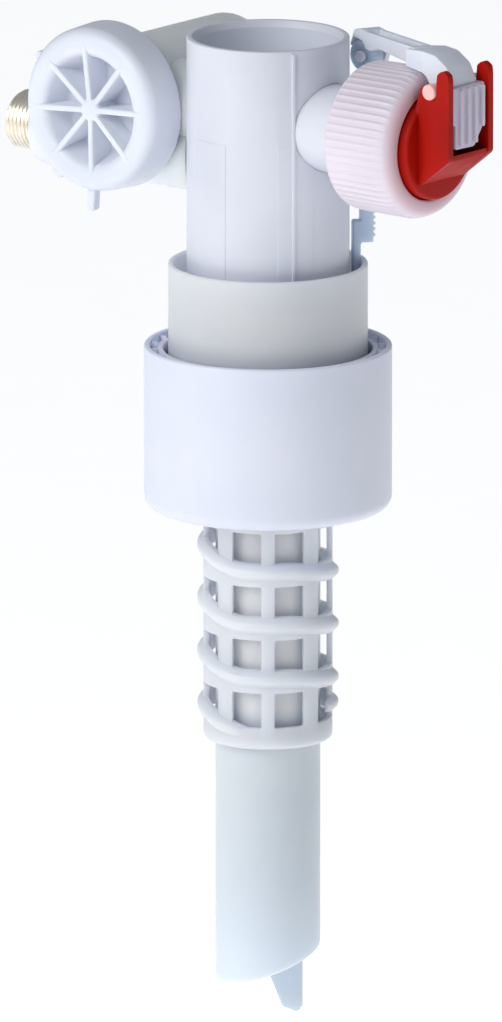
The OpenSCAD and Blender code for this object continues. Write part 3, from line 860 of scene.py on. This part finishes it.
def outlet_tube():
    body = tube("tube_skin", TUBE_R, TUBE_R - 1.5, TUBE_FOOT, TUBE_TOP, [0.2, 0.2, 0.4, 0.4], 144)
    slope, facing = 20, FRONT_TURN + 22
    slab = box_piece("slab", (-20, -30, -60), (80, 30, 0))
    place(slab, turn(-slope, "Y"), shift(-TUBE_R, 0, TUBE_FOOT + 1), turn(facing, "Z"))
    cut(body, slab)
    soften(body, 0.4, 3, 40)
    settle(body, "outlet_tube", "valve", TUBE_CLOUD)


def outlet_blade():
    span = 12.6
    outline = rounded(
        [(-span, -225), (span, -225), (span, -240), (9.4, -246), (9.4, -269), (8.2, -271),
         (4.0, -269.4), (-0.5, -258), (-0.5, -242), (-span, -232)],
        [0.4, 0.4, 2, 2, 0.8, 1.0, 1.0, 1.5, 3, 2], 5)
    body = place(prism("blade", outline, -0.6, 0.6), TO_FRONT, turn(FRONT_TURN, "Z"))
    soften(merge_close(body), 0.25, 2, 40)
    settle(body, "outlet_blade", "valve", ROD_BLUE)


def finish_cad_nodes():
    """CAD nodes whose shape already is the real one get their finish here."""
    finishes = {
        "valve_core": BLUE_CLOUD, "inlet_seal": RUBBER, "flow_regulator": INSERT_BLUE,
        "strainer": WHITE, "strainer_cap_oring": RUBBER, "diaphragm": RUBBER,
        "diaphragm_plate": WHITE, "bleed_pin": STEEL, "pilot_pad": RUBBER,
        "float_detent_ring": WHITE, "tube_oring": RUBBER,
    }
    for node, material in finishes.items():
        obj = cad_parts[node]
        obj.data.materials.clear()
        obj.data.materials.append(material)


for build in (guide_column, inlet_housing, diaphragm_housing, inlet_nipple, inlet_socket_ring,
              strainer_cap, ring_nut, pilot_cover, lever_arm, lever_pin, pad_holder, push_rod,
              rod_clevis_pin, float_collar, float_cage, float_cup, float_lid, outlet_tube, outlet_blade):
    build()
finish_cad_nodes()


# ---------------------------------------------------------------- floor, light, camera

AZIMUTH = math.radians(39)
ELEVATION = math.radians(12.9)
DISTANCE = 8.0                # from the camera to its aim
FRAME_HEIGHT = 0.2765         # what the picture spans at the aim
SENSOR = 24.0
AIM_DROP = 131.5 * MM         # the aim's place below the rim, and to the left of the column's axis
AIM_LEFT = 4.6 * MM
FLOOR_GAP = 0.16              # far enough below that no shadow shows, as in the photo
FLOOR_HALF = 12.0


def stage_floor():
    z = CAD_BOUNDS[0][2] - FLOOR_GAP
    corners = [(x * FLOOR_HALF, y * FLOOR_HALF, z) for x, y in ((-1, -1), (1, -1), (1, 1), (-1, 1))]
    mesh = bpy.data.meshes.new("floor")
    mesh.from_pydata(corners, [], [(0, 1, 2, 3)])
    obj = link("floor", mesh)
    mat, tree, shader = new_material("floor_paint")
    grain = noise(tree, 40.0, detail=2.0, coords=object_coords(tree))
    tone = ramp(tree, grain.outputs["Fac"], [(0.3, level(0.93)), (0.7, level(0.95))])
    tree.links.new(tone.outputs["Color"], shader.inputs["Base Color"])
    shader.inputs["Roughness"].default_value = 0.9
    shader.inputs["Emission Color"].default_value = level(1.0)
    shader.inputs["Emission Strength"].default_value = 0.66
    mesh.materials.append(mat)


def camera():
    aim = Vector((AXIS_X, 0, RIM_Z - AIM_DROP))
    right = Vector((math.cos(AZIMUTH), math.sin(AZIMUTH), 0))
    back = Vector((math.sin(AZIMUTH) * math.cos(ELEVATION), -math.cos(AZIMUTH) * math.cos(ELEVATION),
                   math.sin(ELEVATION)))
    aim -= right * AIM_LEFT
    data = bpy.data.cameras.new("camera")
    data.sensor_fit = "VERTICAL"
    data.sensor_height = SENSOR
    data.lens = SENSOR * DISTANCE / FRAME_HEIGHT
    data.clip_end = 100
    obj = link("camera", data)
    obj.location = aim + back * DISTANCE
    obj.rotation_euler = back.to_track_quat("Z", "Y").to_euler()
    bpy.context.scene.camera = obj


def area_light(name, side, height, distance, size, power):
    """A soft light aimed at the middle, side degrees round from the camera and height degrees up."""
    middle = Vector((AXIS_X, 0, RIM_Z - 0.1))
    bearing = AZIMUTH + math.radians(side)
    rise = math.radians(height)
    back = Vector((math.sin(bearing) * math.cos(rise), -math.cos(bearing) * math.cos(rise), math.sin(rise)))
    data = bpy.data.lights.new(name, "AREA")
    data.shape = "DISK"
    data.size = size
    data.energy = power
    obj = link(name, data)
    obj.location = middle + back * distance
    obj.rotation_euler = back.to_track_quat("Z", "Y").to_euler()


def lights():
    area_light("key", side=-54, height=30, distance=1.3, size=1.0, power=8.5)
    area_light("fill", side=-24, height=38, distance=1.6, size=0.9, power=2.8)
    world = bpy.data.worlds.new("studio")
    world.use_nodes = True
    sky = world.node_tree.nodes["Background"]
    sky.inputs["Color"].default_value = (0.88, 0.94, 1.0, 1)
    sky.inputs["Strength"].default_value = 0.3
    bpy.context.scene.world = world
    bpy.context.scene.view_settings.view_transform = "Standard"


stage_floor()
camera()
lights()
